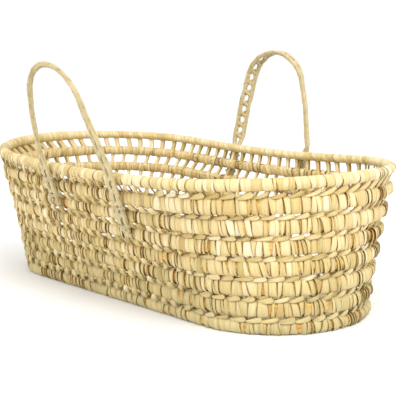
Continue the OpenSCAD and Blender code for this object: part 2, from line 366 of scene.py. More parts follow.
def leaf_material(name, tones, shade, rough, streak_depth, sheen, low_shade=1.0):
    """Dried palm leaf. The grain field holds millimetres across, along and a strip's own number;
    the look field holds its tint, how near its edge a point is, and how much stain it has. The edge
    share lays a painted shade on a strip's edges, in grooves and creases and under a turn, and for
    the wrapped rows the stain share also carries a painted shade on their top and bottom, between
    rows. tones runs from dark to pale, shade is the painted shade colour at a strip's edges, and the
    last argument is how much a painted shade darkens the leaf near the floor."""
    n = Nodes(name)
    grain = n.add("ShaderNodeAttribute", attribute_name="grain").outputs["Vector"]
    look = n.add("ShaderNodeAttribute", attribute_name="look").outputs["Vector"]
    parts = n.add("ShaderNodeSeparateXYZ", {"Vector": look}).outputs
    tint, edge, stain = parts["X"], parts["Y"], parts["Z"]
    fibres = n.noise(grain, (2.6, 0.09, 1.0), 4.0, 0.65)
    bands = n.noise(grain, (0.55, 0.045, 1.0), 2.0, 0.5)
    specks = n.noise(grain, (1.3, 0.55, 1.0), 2.0, 0.5)
    place = n.add("ShaderNodeTexCoord").outputs["Object"]
    patches = n.noise(place, (11.0, 11.0, 11.0), 3.0, 0.6)
    tone = n.math("MULTIPLY_ADD", bands, 0.9, n.math("MULTIPLY_ADD", tint, 0.9, -0.40))
    tone = n.math("ADD", tone, n.math("MULTIPLY_ADD", patches, 0.4, -0.2), clamp=True)
    colour = n.ramp(tone, tones)
    streaks = n.ramp(fibres, [(0.30, (0.62, 0.47, 0.24)), (0.47, (0.94, 0.90, 0.82)),
                              (0.56, (1, 1, 1)), (0.75, (1.0, 0.97, 0.90))])
    colour = n.blend(0.85, colour, streaks, "MULTIPLY")
    spots = n.ramp(specks, [(0.66, (1, 1, 1)), (0.74, (0.74, 0.62, 0.45))])
    colour = n.blend(0.6, colour, spots, "MULTIPLY")
    # Painted shade: the edge share darkens edges, grooves, creases and undersides towards the shade
    # colour.
    colour = n.blend(n.math("MULTIPLY", n.math("POWER", edge, 3.5), 0.62), colour, shade)
    # Real stains, and for the wrapped rows a painted shade on their top and bottom, between rows.
    stain_and_row_shade = n.math("MULTIPLY", stain, n.math("MULTIPLY_ADD", bands, 1.1, 0.25), clamp=True)
    colour = n.blend(stain_and_row_shade, colour, STAIN_AND_SHADE)
    # Grey-green weathered patches, plus a painted shade that darkens the leaf near the floor.
    aged_and_shaded = n.noise(grain, (0.30, 0.03, 1.0), 2.0, 0.5)
    above_floor = n.add("ShaderNodeSeparateXYZ", {"Vector": place}).outputs["Z"]
    low_shade_mask = n.math("MULTIPLY_ADD", above_floor, -4.0 * low_shade, 0.52 * low_shade, clamp=True)
    aged_and_shaded = n.math("ADD", n.math("MULTIPLY_ADD", aged_and_shaded, 2.4, -1.15), low_shade_mask, clamp=True)
    colour = n.blend(aged_and_shaded, colour, AGED_AND_SHADE)
    n.put(n.shader.inputs["Base Color"], colour)
    roughness = n.math("MULTIPLY_ADD", fibres, 0.36, rough - 0.18, clamp=True)
    n.put(n.shader.inputs["Roughness"], roughness)
    n.put(n.shader.inputs["Specular IOR Level"], 0.28)
    n.put(n.shader.inputs["Sheen Weight"], sheen)
    n.put(n.shader.inputs["Sheen Roughness"], 0.5)
    n.put(n.shader.inputs["Sheen Tint"], (1.0, 0.95, 0.82, 1))
    height = n.math("MULTIPLY_ADD", bands, 0.7, n.math("MULTIPLY", fibres, 0.8))
    bump = n.add("ShaderNodeBump", {"Strength": 0.7, "Distance": streak_depth,
                                    "Height": height})
    n.put(n.shader.inputs["Normal"], bump.outputs["Normal"])
    return n.material


STRAW = [(0.0, (0.43, 0.34, 0.13)), (0.2, (0.56, 0.44, 0.17)), (0.42, (0.69, 0.55, 0.26)),
         (0.7, (0.80, 0.69, 0.42)), (1.0, (0.91, 0.84, 0.62))]
GREENISH = [(0.0, (0.42, 0.34, 0.17)), (0.3, (0.54, 0.45, 0.25)), (0.6, (0.64, 0.57, 0.38)),
            (1.0, (0.80, 0.75, 0.57))]
GOLDEN = [(0.0, (0.38, 0.20, 0.04)), (0.4, (0.66, 0.38, 0.08)), (0.7, (0.82, 0.52, 0.14)),
          (1.0, (0.84, 0.62, 0.26))]
FLAXEN = [(0.0, (0.40, 0.34, 0.22)), (0.5, (0.62, 0.55, 0.38)), (1.0, (0.80, 0.74, 0.58))]

# The fourth argument of each is its painted shade colour, for edges, grooves and creases.
leaf = leaf_material("wrapped_leaf", STRAW, (0.38, 0.24, 0.07, 1), 0.50, 0.40 * MM, 0.03)
rim_leaf = leaf_material("rim_leaf", STRAW, (0.42, 0.29, 0.11, 1), 0.45, 0.28 * MM, 0.04)
lace_leaf = leaf_material("lacing_leaf", STRAW, (0.44, 0.28, 0.07, 1), 0.55, 0.45 * MM, 0.02)
plait_leaf = leaf_material("plaited_leaf", GREENISH, (0.36, 0.28, 0.12, 1), 0.50, 0.40 * MM, 0.1)
# The stems take no painted shade near the floor.
stem_fibre = leaf_material("stem_bundle", GOLDEN, (0.16, 0.08, 0.02, 1), 0.62, 0.45 * MM, 0.05,
                           low_shade=0.0)
twine_fibre = leaf_material("twine", FLAXEN, (0.26, 0.20, 0.11, 1), 0.75, 0.30 * MM, 0.15)

# ---- Wrapping: one ribbon wound round the row, turn after turn ----

RIBBON_S = np.array([0.0, 0.09, 0.24, 0.40, 0.55, 0.70, 0.85, 0.95, 1.0, 0.5])
AROUND = 24
# The most that a slit takes of the narrower turn beside it, and the most that an edge slants.
SLIT_SHARE = 0.80
SLANT_SHARE = 0.42
STEM_STEP, STEM_COLS = 5 * MM, 30


def fullness(row, point):
    """The share of its height that a row is wound to: slim at the rear, full at the right."""
    rear = fade(point[..., 1], *REAR_FADE)
    right = fade(point[..., 0], *FULL_FADE)
    return 1 - REAR_SLIM * rear + row.full * right * (1 - rear)


def wrap_row(name, row, node, material, rng, style, low=0.0, floor=None, openings=()):
    """Winds the leaf ribbon. Each turn leans a little outside and steps on along the inner side.
    low is 0 at the rim and 1 at the lowest row, where the leaf is darker and browner with a painted
    shade near the floor, and more drawn apart.
    openings are (lengths, at the foot) where a lacing stitch draws two turns apart."""
    turns = int(round(row.length / style["width"]))
    spread = row.at((np.arange(turns) + 0.5) / turns * row.length)[0]
    rightness = fade(spread[:, 0], *TURN_FADE)
    widths = np.exp(np.clip(rng.normal(size=turns), -1.8, 1.3) * style["uneven"])
    widths = widths * mix(style["narrow"], 1, rightness)
    bound = np.concatenate([[0], np.cumsum(widths)]) / widths.sum() * row.length
    count = turns if row.closed else turns + 1
    rightness = np.resize(rightness, count)
    steps = np.resize(np.diff(bound), count)
    narrower = np.minimum(steps, np.roll(steps, 1))
    limit = SLANT_SHARE * narrower
    slant = style["slant"] * mix(0.5, 1, rightness)
    top = np.clip(rng.normal(size=count) * slant, -limit, limit)
    foot = np.clip(rng.normal(size=count) * slant, -limit, limit)
    foot = foot + style["rake"] * mix(1, 0.35, rightness)
    bow = rng.normal(0, 0.6 * MM, count) - style["bow"] * (1 - rightness)
    opened = rng.random(count) < style["slits"] * mix(0.9, 1.5, low)
    slit = np.where(opened, rng.uniform(0.8, mix(3.8, 13.0, low ** 2), count), -0.8) * MM
    slit = np.minimum(slit, SLIT_SHARE * narrower)
    at_foot = rng.random(count) < 0.5
    for lengths, is_foot in openings:
        for spot in lengths:
            nearest = int(np.argmin(np.abs(bound - spot))) % count
            if rng.random() < style["drawn"]:
                slit[nearest] = rng.uniform(1.6, 3.4) * MM
                at_foot[nearest] = is_foot

    k = np.repeat(np.arange(turns), AROUND)
    theta = np.tile(np.arange(AROUND) / AROUND, turns) * TURN
    if not row.closed:
        k, theta = np.append(k, turns - 1), np.append(theta, TURN)

    def edge(turn):
        """Where the boundary before a turn lies along the row, all round it."""
        this = turn % count
        after = (turn + 1) % count
        lap = row.length * (turn // turns) if row.closed else 0
        start = bound[this] + lap
        step = bound[np.minimum(this + 1, turns)] - bound[this]
        half = np.where(theta <= math.pi, theta / math.pi, theta / math.pi - 1)
        front = start + mix(top[this], foot[this], smooth(half)) + bow[this] * np.sin(theta)
        back = mix(start + foot[this], start + step + top[after], smooth(half))
        return np.where(theta <= math.pi, front, back)

    def gape(turn):
        """Half of the opening at the boundary before a turn, where a slit shows the stems."""
        this = turn % count
        down = np.where(at_foot[this], 1 - np.cos(theta), 1 + np.cos(theta)) / 2
        outside = np.clip(np.sin(theta) * 1.8 + 0.6, 0, 1)
        wide = slit[this] * smooth(down * 1.15) ** mix(1.3, 0.5, low) * outside - 0.35 * MM
        return np.where(slit[this] > 0, wide, slit[this]) / 2

    left = (edge(k) + gape(k))[:, None]
    right = (edge(k + 1) - gape(k + 1))[:, None]
    s = RIBBON_S[None, :]
    reach = left + (right - left) * s
    shape = reach.shape
    around = np.abs(np.sin(theta))[:, None]
    side = np.abs(2 * s - 1)

    def per_turn(values):
        return values[k][:, None]

    lift = per_turn(rng.uniform(-0.15, 1, turns) * style["lift"])
    skew = per_turn(rng.normal(0, style["skew"], turns)) * mix(0.7, 1, per_turn(rightness))
    crown = per_turn(rng.uniform(0.2, 1.0, turns) * style["plump"])
    pleat_at = per_turn(rng.uniform(0.25, 0.75, turns))
    pleat = per_turn(rng.uniform(-0.2, 1.0, turns) ** 2 * style["pleat"])
    height = lift + crown * (1 - side ** 2.2) + skew * (2 * s - 1)
    height = height - pleat * np.exp(-(((s - pleat_at) / 0.11) ** 2))
    height = height + 0.12 * MM * np.cos(s * 21 + per_turn(rng.uniform(0, 6, turns)))
    height = height + wander(rng, len(k), 1.6)[:, None] * 0.15 * MM
    height = height * mix(0.5, 1, around) - style["sunk"]
    height[:, -1] = -style["sunk"] - 0.6 * MM
    power = mix(style["round"], mix(style["power"], 1, low ** 8), per_turn(rightness))
    out, up = row.section(theta[:, None], power, reach)
    radial = unit(np.stack([np.sin(theta) / row.wide, np.cos(theta) / row.tall], -1))
    point, outward, upward = row.at(reach)
    up = up * fullness(row, point)
    spot = point + outward * (out + height * radial[:, None, 0])[..., None]
    spot = spot + upward * (up + height * radial[:, None, 1])[..., None]
    if floor is not None:
        spot[..., 2] = np.maximum(spot[..., 2], floor)
    along = (k * 63.0 + theta / TURN * 63.0)[:, None]
    grain = fields_of(shape, s * (right - left) / MM + 5.7 * k[:, None], along, 0)
    # The hue wanders at random and drops towards the lowest row: painted shade near the floor.
    hue = 0.50 - 0.45 * low ** 3 + 0.16 * wander(rng, turns, 3) + rng.normal(0, 0.15, turns)
    stain = np.where(rng.random(turns) < 0.14, rng.uniform(0.1, 0.5, turns), 0.03)
    # The edge share is a painted shade at a turn's edges and, in the last column, under the turn. The
    # stain share holds real stains plus a painted shade on the row's top and bottom, where it faces
    # the rows beside it.
    near = np.where(np.arange(shape[1]) == shape[1] - 1, 1, side)
    look = fields_of(shape, per_turn(np.clip(hue, 0, 1)), near,
                     per_turn(stain) + 0.12 * (1 - around))
    build = Build()
    build.grid(spot, grain, look, row.closed)
    build.piece(name, material, [node], "basket")


def stem_bundle(name, row, node, rng, floor=None):
    """The bundle of leaf stems inside a row: lobed and slightly wandering."""
    steps, cols = int(row.length / STEM_STEP), STEM_COLS
    reach = np.linspace(0, row.length, steps, endpoint=not row.closed)[:, None]
    phi = (np.arange(cols) / cols * TURN)[None, :]
    groove = np.abs(np.sin(phi * 5 + reach * 14))
    inset = WRAP_THICK - 0.3 * MM * groove - rng.normal(0, 0.06 * MM, (steps, cols))
    out, up = row.section(phi, 0.8, reach)
    shrink = 1 - inset / (min(row.wide, row.tall) / 2)
    point, outward, upward = row.at(reach + 0 * phi)
    up = up * fullness(row, point)
    spot = point + outward * (out * shrink)[..., None] + upward * (up * shrink)[..., None]
    if floor is not None:
        spot[..., 2] = np.maximum(spot[..., 2], floor)
    shape = groove.shape
    hue = 0.45 + wander(rng, cols, 1.0)[None, :] * 0.35
    grain = fields_of(shape, phi / TURN * 50, reach / MM, 0)
    # The edge share paints shade in the grooves between the stems.
    look = fields_of(shape, np.clip(hue, 0, 1), 1 - groove, 0.1)
    build = Build()
    build.grid(spot, grain, look, row.closed)
    build.piece(name, stem_fibre, [node], "basket")


# A turn has a mean width, uneven by some, and narrow at the left of the front. Its edges slant, rake
# towards the foot and bow. slits is the share of turns that gape, and drawn that of the stitches
# that open one. lift, skew, plump and pleat shape its face. power at the right and round at the
# left give the row's section, and sunk is how far the turns' edges lie inside it.
WALL_STYLE = {"width": 7.6 * MM, "uneven": 0.40, "narrow": 0.68, "slant": 3.4 * MM,
              "rake": 7.0 * MM, "bow": 2.2 * MM, "slits": 0.40, "drawn": 0.7, "lift": 1.6 * MM,
              "skew": 1.4 * MM, "plump": 0.8 * MM, "pleat": 1.4 * MM, "power": 0.74,
              "round": 0.92, "sunk": 0.8 * MM}
RIM_STYLE = {"width": 7.8 * MM, "uneven": 0.55, "narrow": 0.52, "slant": 1.2 * MM,
             "rake": 1.5 * MM, "bow": 1.5 * MM, "slits": 0.05, "drawn": 0.9, "lift": 0.35 * MM,
             "skew": 0.3 * MM, "plump": 0.45 * MM, "pleat": 0.35 * MM, "power": 1.0,
             "round": 1.0, "sunk": 0.3 * MM}

rng = np.random.default_rng(SEED)
gap_walks = [stitch_walk(wall[g], wall[g + 1]) for g in range(WALL_ROWS)]
for i, row in enumerate(wall):
    node = f"wall_row_{i}" if i else "rim"
    floor_z = FLOOR_GAP if i == WALL_ROWS else None
    drawn = [(row.reach(gap_walks[i][0]), True)] if i < WALL_ROWS else []
    drawn += [(row.reach(gap_walks[i - 1][0]), False)] if i else []
    stem_bundle(f"{node}_stems", row, f"{node}_core", rng, floor_z)
    wrap_row(f"{node}_strips", row, f"{node}_wrap", leaf if i else rim_leaf,
             rng, WALL_STYLE if i else RIM_STYLE,
             i / WALL_ROWS, floor_z, drawn)
base_rows = [(f"base_row_{i}", row) for i, row in enumerate(base, 1)] + [("base_center", center)]
for node, row in base_rows:
    stem_bundle(f"{node}_stems", row, f"{node}_core", rng, FLOOR_GAP)
    wrap_row(f"{node}_strips", row, f"{node}_wrap", leaf, rng, WALL_STYLE,
             floor=FLOOR_GAP)

# ---- Leaf ribbons along any path: lacing stitches ----

LEAF_S = np.array([0.0, 0.10, 0.28, 0.46, 0.64, 0.82, 1.0, 0.80, 0.5, 0.2])
LEAF_CROWN = np.array([0.0, 0.45, 0.9, 1.0, 0.9, 0.5, 0.0, -0.5, -0.6, -0.5])
LEAF_THICK = 1.2 * MM


def leaf_ribbon(build, path, normal, width, thick, hue, stain, number, pleat=0.0, cup=0.0):
    """Adds a leaf along path (n x 3), its face towards normal, as wide as width at each point."""
    way = unit(np.gradient(path, axis=0))
    face = unit(normal - (normal * way).sum(-1, keepdims=True) * way)
    across = np.cross(way, face)
    top = LEAF_CROWN > -0.1
    relief = LEAF_CROWN - pleat * np.exp(-(((LEAF_S - 0.46) / 0.1) ** 2)) * top
    relief = relief[None, :] + cup * (np.abs(2 * LEAF_S - 1) ** 2)[None, :]
    offset = (LEAF_S - 0.5)[None, :, None] * width[:, None, None] * across[:, None, :]
    spot = path[:, None, :] + offset + relief[..., None] * thick[:, None, None] * face[:, None, :]
    run = np.concatenate([[0], np.cumsum(np.linalg.norm(np.diff(path, axis=0), axis=1))])
    shape = spot.shape[:2]
    grain = fields_of(shape, LEAF_S * width[:, None] / MM + number * 11.7,
                      run[:, None] / MM + number * 40, number * 0.37)
    # The edge share paints shade on the leaf's two edges.
    look = fields_of(shape, hue, np.abs(2 * LEAF_S - 1), stain)
    build.grid(spot, grain, look)


def gap_path(lower, upper, walk, share, out):
    """Points across a gap between two wall rows, moved out from the wall's middle surface."""
    p0, o0, u0 = lower.at(lower.reach(walk))
    p1, o1, u1 = upper.at(upper.reach(walk))
    a = p0 + u0 * (lower.tall / 2 * fullness(lower, p0))[:, None]
    b = p1 - u1 * (upper.tall / 2 * fullness(upper, p1))[:, None]
    outward = unit(o0 + o1)
    return a + (b - a) * share[:, None] + outward * out[:, None], outward


def lacing_look(gap, rng, walk):
    """For each stitch of a gap: how much of a long wedge it is, and how near the front."""
    drift = wander(rng, len(walk), 5)
    place = wall[gap].at(wall[gap].reach(walk))[0]
    front = fade(-place[:, 1], *FRONT_FADE)
    right = fade(place[:, 0], *WEDGE_FADE)
    wedge = fade(right + 0.30 * drift, 0.3, 0.4)
    return wedge * front, front


STITCH_T = np.linspace(0, 1, 21)
STITCH_BELLY = np.sin(math.pi * STITCH_T)

# The stitches of the rim's gap and of the gaps between wall rows. lean and inner_lean are along the
# row, in stitches. proud, pillow and plump are in millimetres, at the front of the basket: how far
# the outer leaf stands out, its width and its thickness. far is the width at the rear. trail is
# how many stitches the inner leaf is off the outer one at the front. root and neck are the inner
# leaf's widths at its ends and at its middle, behind a pillow and behind a wedge.
RIM_STITCH = {"lean": 0.5, "proud": 6.2, "far": 8.0, "pillow": 14.5, "plump": 2.2,
              "inner_lean": 0.5, "trail": -0.2, "root": 14.0, "neck": (8.0, 7.0)}
WALL_STITCH = {"lean": 0.14, "proud": 7.4, "far": 5.2, "pillow": 15.5, "plump": 4.4,
               "inner_lean": 0.1, "trail": 0.0, "root": 17.0, "neck": (5.0, 4.2)}


def outer_leaf(build, rng, gap, style, at, step, turn, near, hue, stain, number):
    """The outside of a stitch: a short pillow, or a long wedge that rises from the lower row to a
    broad end under the upper one. turn is how much of a wedge it is, near how far to the front."""
    t, belly = STITCH_T, STITCH_BELLY
    lean = mix(style["lean"], 1.15, turn) + rng.normal(0, mix(0.06, 0.14, turn))
    end = fade(t, 0.86, 0.14)
    rise = mix(-0.15, rng.uniform(0.36, 0.62), t ** 1.3) + 0.25 * end
    share = mix(mix(-0.34, 1.34, t), rise, turn)
    proud = mix(mix(2.4, style["proud"], near), 7.2, turn) + rng.uniform(-0.5, 0.9)
    out = mix(3.2, proud, belly ** mix(0.5, 0.75, turn)) * MM
    path, outward = gap_path(wall[gap + 1], wall[gap], at + step * lean * (t - 0.5), share, out)
    pillow = mix(style["far"], style["pillow"], near)
    pillow_w = mix(0.66, 1.0, belly ** 0.8) * pillow * rng.uniform(0.88, 1.1)
    wedge_w = mix(rng.uniform(2.5, 6), rng.uniform(8, 14), t ** 1.15) * (1 - 0.3 * end)
    width = mix(pillow_w, wedge_w, turn) * MM
    thick = mix(mix(1.0, style["plump"], near * belly), 1.0, turn) * MM
    roll = rng.uniform(-0.1, 0.5) * turn
    face = outward + UP * (roll * np.cos(math.pi * t))[:, None]
    leaf_ribbon(build, path, face, width, thick, hue, stain, number, rng.uniform(0, 0.9),
                rng.uniform(-0.3, 0.3) * turn)


def inner_leaf(build, rng, gap, style, at, step, turn, near, hue, stain, number):
    """The inside of a stitch, drawn to a neck in the middle of the gap."""
    t, belly = STITCH_T, STITCH_BELLY
    at = at + step * mix(style["trail"] * near, 0.46, turn)
    lean = style["inner_lean"] + (rng.normal(0, 0.04) if gap else 0)
    out = -mix(4.0, mix(2.2, 4.8, near), belly ** 0.5) * MM
    path, outward = gap_path(wall[gap + 1], wall[gap], at + step * lean * (t - 0.5),
                             mix(-0.40, 1.40, t), out)
    neck = mix(*style["neck"], turn) + rng.uniform(-0.6, 1.0)
    width = mix(style["root"], neck, belly ** 0.6) * MM
    leaf_ribbon(build, path, -outward, width, np.full(len(t), LEAF_THICK), hue, stain, number, 0.7)


def lace_gap(gap, node, rng):
    """Laces the gap under the rim or between two wall rows, one stitch after another."""
    walk, pace = gap_walks[gap]
    wedge, front = lacing_look(gap, rng, walk)
    style = WALL_STITCH if gap else RIM_STITCH
    build = Build()
    for i, (at, step) in enumerate(zip(walk, pace, strict=True)):
        # The hue is random, and lower in the low gaps: painted shade near the floor.
        hue = float(np.clip(rng.normal(0.42 - 0.2 * (gap / WALL_ROWS) ** 3, 0.2), 0, 1))
        stain = 0.35 if rng.random() < 0.12 else 0.06
        at = at + rng.normal(0, 0.04) * step
        stitch = (at, step, wedge[i], front[i], hue, stain)
        outer_leaf(build, rng, gap, style, *stitch, i)
        inner_leaf(build, rng, gap, style, *stitch, i + 0.5)
    build.piece(f"{node}_leaves", lace_leaf, [node], "basket")


for gap in range(WALL_ROWS):
    lace_gap(gap, f"wall_lacing_{gap}" if gap else "rim_lacing", rng)


def lace_base(gap, rng):
    """Laces two base rows, above and below, along both sides and round both ends."""
    outer = wall[WALL_ROWS] if gap == 0 else base[gap - 1]
    build = Build()
    t = np.linspace(0, 1, 13)
    belly = np.sin(math.pi * t)
    if gap < BASE_ROWS:
        inner = base[gap]
        walk = stitch_walk(outer, inner)[0]
        a, b = outer.at(outer.reach(walk))[0], inner.at(inner.reach(walk))[0]
    else:
        n = round(2 * outer.straight / STITCH_PITCH)
        x = ((np.arange(n) + 0.5) / n * 2 - 1) * outer.straight
        a = np.concatenate([np.stack([x, 0 * x + y, 0 * x], -1)
                            for y in (-outer.half_w, outer.half_w)])
        b = a * [1, 0, 1]
    inner_reach = ROW_TALL / 2
    outer_reach = (ROW_THICK if gap == 0 else ROW_TALL) / 2
    a[:, 2] = b[:, 2] = center.z
    way = unit(b - a)
    a, b = a + way * outer_reach, b - way * inner_reach
    for i in range(len(a)):
        for side in (1, -1):
            share = mix(-0.5, 1.5, t)[:, None]
            lift = mix(1.0, 4.6, belly ** 0.6)[:, None] * side * MM
            slide = (t - 0.5)[:, None] * np.cross(way[i], UP) * rng.normal(2.5, 3.0) * MM
            path = a[i] + (b[i] - a[i]) * share + UP * lift + slide
            width = mix(10.0, 6.5 + rng.uniform(-0.8, 1.5), belly) * MM
            hue = float(np.clip(rng.normal(0.42, 0.2), 0, 1))
            leaf_ribbon(build, path, np.broadcast_to(UP * side, path.shape), width,
                        np.full(len(t), LEAF_THICK), hue, 0.08, i + 0.5 * side, 0.6)
    build.piece(f"base_lacing_{gap}_leaves", lace_leaf,
                [f"base_lacing_{gap}"], "basket")


for gap in range(BASE_ROWS + 1):
    lace_base(gap, rng)

# ---- Handles: an open plait of four strands, with its ends sewn down the wall ----

PLAIT_PITCH = 22 * MM
PLAIT_HALF = 8.0 * MM
# The share of its width that the plait keeps where it is sewn, and at its two ends.
SEWN_HALF = 0.84
TAIL_HALF = 0.78
# How long a strand stays at the plait's edge before it crosses.
EDGE_HOLD = 3.0
# How steeply it changes from over to under, and the share that puts this midway between crossings.
CHANGE_STEEP, CHANGE_SHARE = 4, 0.414
STRAND_WIDE = 8.0 * MM
STRAND_THICK = 4.0 * MM
EDGE_THICK = 7.2 * MM
# The vertices round a strand, its lobes, and their twist in radians per metre.
STRAND_COLS, STRAND_LOBES, STRAND_TWIST = 18, 3, 70
# The loose fibres of a strand, how many of them fray from each end, and the points along one.
HAIRS, END_HAIRS, HAIR_STEPS = 8, 3, 9
# The rear handle's tints are darker: painted shade, for the handle on the shaded side.
PLAIT_TINT_AND_SHADE = {"front": (0.22, 0.48), "rear": (0.18, 0.42)}
SOFTEN = 9 * MM
LINE_STEP = 1.0 * MM
# Where a strap's turn and dip are given: steps below and above a bend, and a share up the leg.
KEY_BELOW, KEY_ABOVE, KEY_UP = 20, 4, 0.4
# The lengths over which the plait gathers, thins and tapers towards each end, and over which it
# opens out above its sewn part.
GATHER_L, THIN_L, TIP_L, SEWN_FADE_L = 14 * MM, 18 * MM, 6 * MM, 20 * MM


class Handle:
    """The middle line of one handle's strap with its width and face directions."""

    def __init__(self, which):
        self.mirror = np.array([1, 1 if which == "front" else -1, 1])
        hinge = HINGES[f"{which}_handle"]
        self.bend_y, self.bend_z = abs(hinge.y), hinge.z
        self.lean, self.shift = LEAN[which], SHIFT[which]
        self.sway, self.bow = SWAY[which], LEG_BOW[which]
        loop_c = LOOP_H - LOOP_R
        turn = math.acos(LOOP_R / math.hypot(LEG_X, loop_c)) - math.atan2(loop_c, LEG_X)
        foot = np.array([LEG_X, 0, 0])
        head = np.array([LOOP_R * math.cos(turn), 0, loop_c + LOOP_R * math.sin(turn)])
        step = LINE_STEP
        legs = []
        for side in (-1, 1):
            tail = self.on_wall(side, np.arange(self.depth(TAIL_END_Z[side]), 0, -step)[:, None])
            share = np.linspace(0, 1, int(np.linalg.norm(head - foot) / step))[:, None]
            leg = self.in_loop((foot + (head - foot) * share) * [side, 1, 1])
            legs.append((tail, leg) if side < 0 else (leg[::-1], tail[::-1]))
        arc = np.arange(math.pi - turn, turn, -step / LOOP_R)[:, None]
        top = self.in_loop(np.concatenate(
            [LOOP_R * np.cos(arc), 0 * arc, loop_c + LOOP_R * np.sin(arc)], 1))
        line = np.concatenate([*legs[0], top, *legs[1]])
        reach = np.concatenate([[0], np.cumsum(np.linalg.norm(np.diff(line, axis=0), axis=1))])
        self.reach = np.arange(0, reach[-1], step)
        line = np.stack([np.interp(self.reach, reach, line[:, c]) for c in range(3)], 1)
        feet = [len(legs[0][0]), len(line) - len(legs[1][1])]
        heads = [feet[0] + len(legs[0][1]), feet[1] - len(legs[1][0])]
        keys = [feet[0] - KEY_BELOW, feet[0] + KEY_ABOVE, mix(feet[0], heads[0], KEY_UP),
                heads[0], sum(heads) / 2, heads[1], mix(feet[1], heads[1], KEY_UP),
                feet[1] - KEY_ABOVE, feet[1] + KEY_BELOW]
        az, dip = [np.radians(np.interp(np.arange(len(line)), keys, angles[which]))[:, None]
                   for angles in (STRAP_TURN, STRAP_DIP)]
        level = np.cos(dip)
        wide = self.turned(np.concatenate([np.cos(az) * level, np.sin(az) * level,
                                           -np.sin(dip)], 1))
        self.above = np.minimum(self.reach - feet[0] * step, feet[1] * step - self.reach)
        half = int(SOFTEN / step)
        self.line = self.softened(line, half) * self.mirror
        way = unit(np.gradient(self.line, axis=0))
        wide = self.softened(wide, half) * self.mirror
        self.wide = unit(wide - (wide * way).sum(-1, keepdims=True) * way)
        self.face = np.cross(way, self.wide) * self.mirror[1]

    def depth(self, z):
        return (self.bend_z - z) / math.cos(WALL_LEAN)

    def on_wall(self, side, depth):
        """Front-handle point that far down the wall from the bend, on the sewn end."""
        return np.concatenate([0 * depth + side * LEG_X + self.shift,
                               depth * math.sin(WALL_LEAN) - self.bend_y,
                               self.bend_z - depth * math.cos(WALL_LEAN)], 1)

    def turned(self, v):
        c, s = math.cos(self.lean), math.sin(self.lean)
        return np.stack([v[:, 0], v[:, 1] * c - v[:, 2] * s, v[:, 1] * s + v[:, 2] * c], 1)

    def in_loop(self, v):
        share = np.clip(v[:, 2] / LOOP_H, 0, 1)
        bow = np.where(v[:, 0] < 0, self.bow[0], self.bow[1]) * np.sin(math.pi * share)
        bent = np.stack([v[:, 0] + self.sway * smooth(share) + bow, v[:, 1], v[:, 2]], 1)
        return self.turned(bent) + [self.shift, -self.bend_y, self.bend_z]

    @staticmethod
    def softened(v, half):
        """A moving average that leaves the two ends where they are."""
        padded = np.concatenate([2 * v[:1] - v[half:0:-1], v, 2 * v[-1:] - v[-2:-half - 2:-1]])
        weights = np.hanning(2 * half + 3)[1:-1]
        weights /= weights.sum()
        return np.stack([np.convolve(padded[:, c], weights, "valid") for c in range(3)], 1)


def tube(build, path, wide, face, half_w, half_t, cols, lobes, twist, hue, stain, number):
    """Adds a lobed strand along path. half_w and half_t are its half sizes at each point."""
    phi = (np.arange(cols) / cols * TURN)[None, :]
    run = np.concatenate([[0], np.cumsum(np.linalg.norm(np.diff(path, axis=0), axis=1))])[:, None]
    ridge = np.cos(phi * lobes + run * twist)
    swell = 1 + 0.12 * ridge
    spot = path[:, None, :] + (np.cos(phi) * swell * half_w[:, None])[..., None] * wide[:, None, :]
    spot = spot + (np.sin(phi) * swell * half_t[:, None])[..., None] * face[:, None, :]
    shape = spot.shape[:2]
    grain = fields_of(shape, phi / TURN * 20 + run * twist * 2 + number * 31, run / MM, number)
    # Painted shade: the look darkens the grooves between lobes and the strand's two sides, where
    # strands and plies meet.
    side_shade = smooth(np.abs(np.cos(phi)) * 2.4 - 1.4)
    look = fields_of(shape, hue, np.maximum(smooth(0.5 - 0.9 * ridge) * 0.9, side_shade), stain)
    build.grid(spot, grain, look)


def plait(which, rng):
    """Four strands that cross over and under each other, leaving a row of diamond holes."""
    handle = Handle(which)
    t = handle.reach / PLAIT_PITCH
    ends = np.minimum(handle.reach, handle.reach[-1] - handle.reach)
    gather = mix(TAIL_HALF, 1, smooth(ends / GATHER_L))
    gather = gather * mix(SEWN_HALF, 1, smooth(handle.above / SEWN_FADE_L + 0.6))
    tip = np.clip(ends / TIP_L, 0.25, 1) ** 0.6
    nodes = [[f"{which}_handle_inner_strand"], [f"{which}_handle_outer_strand"],
             [f"{which}_handle_cross_strands"],
             [f"{which}_left_sewn_end", f"{which}_right_sewn_end"]]
    for strand in range(4):
        phase = TURN * (t - strand) / 4
        jitter = wander(rng, len(t), 14) * 0.4 * MM
        swing = np.tanh(EDGE_HOLD * np.cos(phase)) / math.tanh(EDGE_HOLD)
        across = -swing * PLAIT_HALF * gather + jitter
        alone = fade(np.abs(np.cos(phase)), 0.70, 0.30)
        thick = mix(STRAND_THICK, EDGE_THICK, alone)
        change = CHANGE_STEEP * (np.sin(3 * phase) + CHANGE_SHARE * np.sin(phase))
        over = np.tanh(change) * (EDGE_THICK - thick) / 2
        path = handle.line + handle.wide * across[:, None] + handle.face * over[:, None]
        way = unit(np.gradient(path, axis=0))
        wide = unit(handle.wide - (handle.wide * way).sum(-1, keepdims=True) * way)
        face = np.cross(way, wide)
        plump = 1 + wander(rng, len(t), 10) * 0.08
        thick = thick * mix(0.7, 1, smooth(ends / THIN_L))
        build = Build()
        tube(build, path, wide, face, STRAND_WIDE / 2 * plump * tip, thick / 2 * tip,
             STRAND_COLS, STRAND_LOBES, STRAND_TWIST, rng.uniform(*PLAIT_TINT_AND_SHADE[which]), 0.03, strand)
        for hair in range(HAIRS):
            add_hair(build, rng, path, wide, face, hair)
        obj = build.piece(f"{which}_handle_plait_{strand + 1}", plait_leaf,
                          nodes[strand])
        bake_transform(obj)
    return handle


